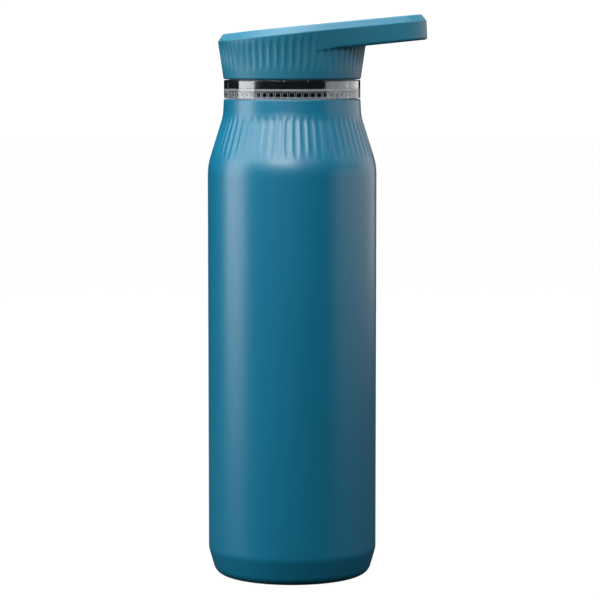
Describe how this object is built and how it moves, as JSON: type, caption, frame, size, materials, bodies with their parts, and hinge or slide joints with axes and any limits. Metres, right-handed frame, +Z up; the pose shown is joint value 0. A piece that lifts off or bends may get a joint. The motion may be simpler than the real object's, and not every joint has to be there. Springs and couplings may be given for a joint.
{
  "type": "insulated bicycle bottle",
  "caption": "Cylindrical double-walled bottle with a fluted shoulder, a screw-in drinking spout and a fluted screw cap with a carrying tongue.",
  "frame": {"origin": "centre of the ring foot, on the plane that the bottle stands on", "axes": "+Z up the bottle's axis, +X the way the cap's tongue points when the cap is closed"},
  "size_m": [0.0947, 0.073, 0.2433],
  "materials": {
    "coated_steel": "satin powder coat",
    "liner_steel": "brushed and electropolished",
    "copper_foil": "bright foil",
    "solder": "dull",
    "getter_metal": "dull",
    "silicone": "matte, translucent white",
    "clear_plastic": "clear gloss",
    "cap_plastic": "fine moulded texture",
    "liner_plastic": "smooth moulded",
    "foam": "closed-cell foam"
  },
  "bodies": {
    "bottle": {"outer_wall": "coated_steel", "base_shell": "coated_steel", "base_cover": "coated_steel", "inner_wall": "liner_steel", "inner_base": "liner_steel", "heat_shield": "copper_foil", "seal_bead": "solder", "getter": "getter_metal", "getter_clip": "getter_metal"},
    "spout_seal": {"spout_gasket": "silicone"},
    "spout": {"spout": "clear_plastic"},
    "cap_seal": {"cap_gasket": "silicone"},
    "cap": {"cap_shell": "cap_plastic", "handle_cover": "cap_plastic", "cap_liner": "liner_plastic", "cap_insulation": "foam"}
  },
  "joints": [
    {"name": "spout_lift", "type": "slide", "parent": "bottle", "child": "spout_seal", "axis": [0, 0, 1], "range_m": [0, 0.0361]},
    {"name": "spout_turn", "type": "hinge", "parent": "spout_seal", "child": "spout", "pos_m": [0, 0, 0.2], "axis": [0, 0, 1], "range_deg": [0, 1440]},
    {"name": "cap_lift", "type": "slide", "parent": "spout", "child": "cap_seal", "axis": [0, 0, 1], "range_m": [0, 0.0481]},
    {"name": "cap_turn", "type": "hinge", "parent": "cap_seal", "child": "cap", "pos_m": [0, 0, 0.22], "axis": [0, 0, 1], "range_deg": [0, 1440]}
  ],
  "couplings": [
    {"joint": "spout_lift", "follows": "spout_turn", "m_per_rad": 0.0014324},
    {"joint": "cap_lift", "follows": "cap_turn", "m_per_rad": 0.0019099}
  ]
}
